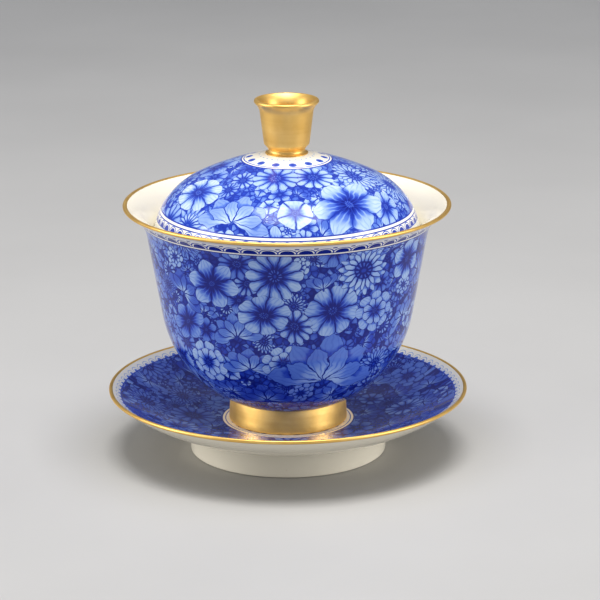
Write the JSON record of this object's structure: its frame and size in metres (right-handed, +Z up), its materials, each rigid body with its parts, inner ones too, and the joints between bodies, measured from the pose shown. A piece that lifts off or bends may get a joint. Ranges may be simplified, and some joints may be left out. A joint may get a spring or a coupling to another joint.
{
  "type": "gaiwan",
  "caption": "Covered tea bowl on a saucer, in glazed porcelain: the bowl and its domed lid lift off, with a cup-shaped knob and foot rings.",
  "frame": {"origin": "centre of the saucer's foot ring, on the surface it stands on", "axes": "+Z up along the turning axis of all pieces; +X and +Y are level and alike"},
  "size_m": [0.1108, 0.1108, 0.1104],
  "materials": {
    "painted_porcelain": "glossy glaze over blue painting",
    "white_porcelain": "glossy warm white glaze",
    "gilding": "satin gilding on porcelain"
  },
  "bodies": {
    "saucer": {"saucer_dish": "painted_porcelain", "saucer_foot_ring": "white_porcelain", "saucer_gilt_rim": "gilding"},
    "bowl": {"bowl_wall": "painted_porcelain", "bowl_foot_ring": "gilding", "bowl_gilt_rim": "gilding"},
    "lid": {"lid_dome": "painted_porcelain", "lid_knob": "gilding"}
  },
  "joints": [
    {"name": "bowl_lift", "type": "slide", "parent": "saucer", "child": "bowl", "axis": [0, 0, 1], "range_m": [0, 0.04]},
    {"name": "lid_lift", "type": "slide", "parent": "bowl", "child": "lid", "axis": [0, 0, 1], "range_m": [0, 0.05]}
  ]
}
